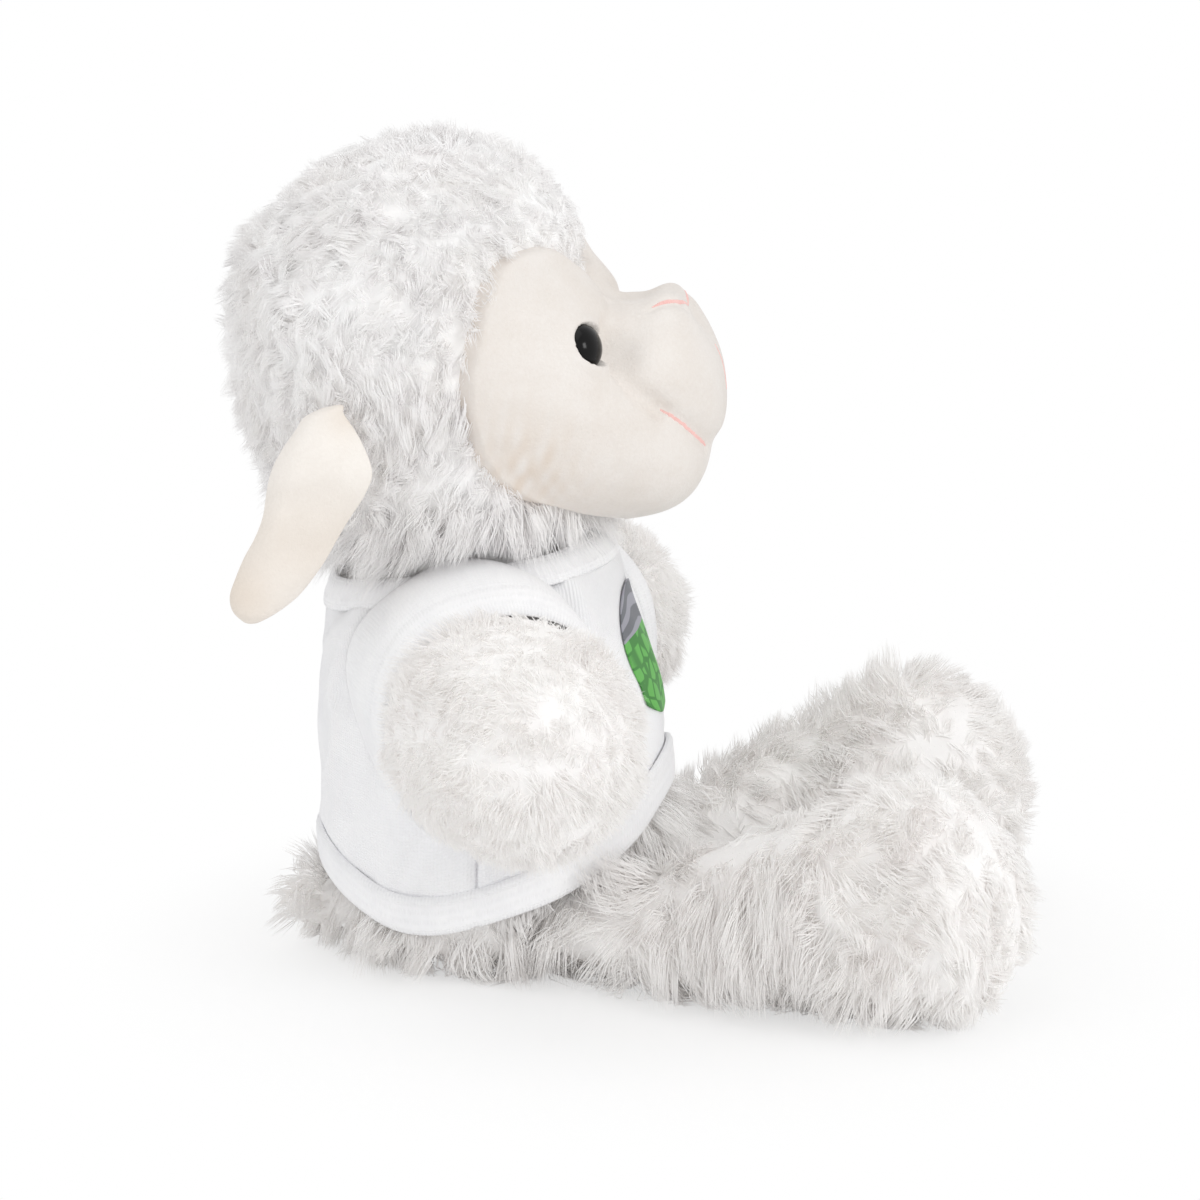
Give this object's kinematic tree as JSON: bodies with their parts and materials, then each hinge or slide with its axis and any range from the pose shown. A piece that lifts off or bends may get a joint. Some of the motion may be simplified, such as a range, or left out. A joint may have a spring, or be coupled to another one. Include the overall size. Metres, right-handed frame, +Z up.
{
  "type": "plush lamb",
  "caption": "Sitting stuffed plush lamb with a curly wool head, hanging velour ears and a white sleeved t-shirt.",
  "frame": {"origin": "middle of the seat's flat underside, on the floor under the trunk", "axes": "+Z up, the lamb faces -Y, +X is its left side"},
  "size_m": [0.1854, 0.2007, 0.2055],
  "materials": {
    "shaggy_wool": "matte",
    "curly_wool": "matte",
    "velour": "matte",
    "jersey": "matte",
    "eye_plastic": "gloss",
    "washer_plastic": "matte",
    "pink_thread": "satin",
    "print_ink": "matte",
    "fibre": "matte"
  },
  "bodies": {
    "trunk": {"trunk": "shaggy_wool", "shirt_front": "jersey", "shirt_back": "jersey", "shirt_collar": "jersey", "shirt_hem_band": "jersey", "sleeve_right": "jersey", "sleeve_left": "jersey", "sleeve_band_right": "jersey", "sleeve_band_left": "jersey", "chest_print": "print_ink"},
    "neck": {"neck_filling": "fibre"},
    "head": {"head": "curly_wool", "face": "velour", "muzzle": "velour", "nose_stitch": "pink_thread", "nostril_stitch_right": "pink_thread", "nostril_stitch_left": "pink_thread", "mouth_stitch_right": "pink_thread", "mouth_stitch_left": "pink_thread", "eye_right": "eye_plastic", "eye_left": "eye_plastic", "eye_washer_right": "washer_plastic", "eye_washer_left": "washer_plastic"},
    "ear_right": {"ear_outer_right": "velour", "ear_inner_right": "velour"},
    "ear_left": {"ear_outer_left": "velour", "ear_inner_left": "velour"},
    "arm_right": {"arm_right": "shaggy_wool"},
    "arm_left": {"arm_left": "shaggy_wool"},
    "leg_right": {"leg_right": "shaggy_wool"},
    "leg_left": {"leg_left": "shaggy_wool"},
    "tail": {"tail": "shaggy_wool"}
  },
  "joints": [
    {"name": "neck_turn", "type": "hinge", "parent": "trunk", "child": "neck", "pos_m": [0, 0.005, 0.106], "axis": [0, 0.1386, 0.9903], "range_deg": [-20, 20], "stiffness_Nm_per_rad": 0.3},
    {"name": "neck_nod", "type": "hinge", "parent": "neck", "child": "head", "pos_m": [0, 0.005, 0.106], "axis": [-1, 0, 0], "range_deg": [-4, 10], "stiffness_Nm_per_rad": 1.2},
    {"name": "ear_right_lift", "type": "hinge", "parent": "head", "child": "ear_right", "pos_m": [-0.05084, 0.03501, 0.14435], "axis": [0, 1, 0], "range_deg": [0, 50], "stiffness_Nm_per_rad": 0.02},
    {"name": "ear_left_lift", "type": "hinge", "parent": "head", "child": "ear_left", "pos_m": [0.05084, 0.03501, 0.14435], "axis": [0, -1, 0], "range_deg": [0, 50], "stiffness_Nm_per_rad": 0.02},
    {"name": "arm_right_raise", "type": "hinge", "parent": "trunk", "child": "arm_right", "pos_m": [-0.049, -0.006, 0.068], "axis": [0, 1, 0], "range_deg": [-12, 25], "stiffness_Nm_per_rad": 0.15},
    {"name": "arm_left_raise", "type": "hinge", "parent": "trunk", "child": "arm_left", "pos_m": [0.049, -0.006, 0.068], "axis": [0, -1, 0], "range_deg": [-12, 25], "stiffness_Nm_per_rad": 0.15},
    {"name": "leg_right_splay", "type": "hinge", "parent": "trunk", "child": "leg_right", "pos_m": [-0.025, -0.024, 0.016], "axis": [0, 0, -1], "range_deg": [-4, 16], "stiffness_Nm_per_rad": 0.3},
    {"name": "leg_left_splay", "type": "hinge", "parent": "trunk", "child": "leg_left", "pos_m": [0.025, -0.024, 0.016], "axis": [0, 0, 1], "range_deg": [-4, 16], "stiffness_Nm_per_rad": 0.3},
    {"name": "tail_wag", "type": "hinge", "parent": "trunk", "child": "tail", "pos_m": [0, 0.041, 0.014], "axis": [0, 0, 1], "range_deg": [-15, 15], "stiffness_Nm_per_rad": 0.02}
  ]
}
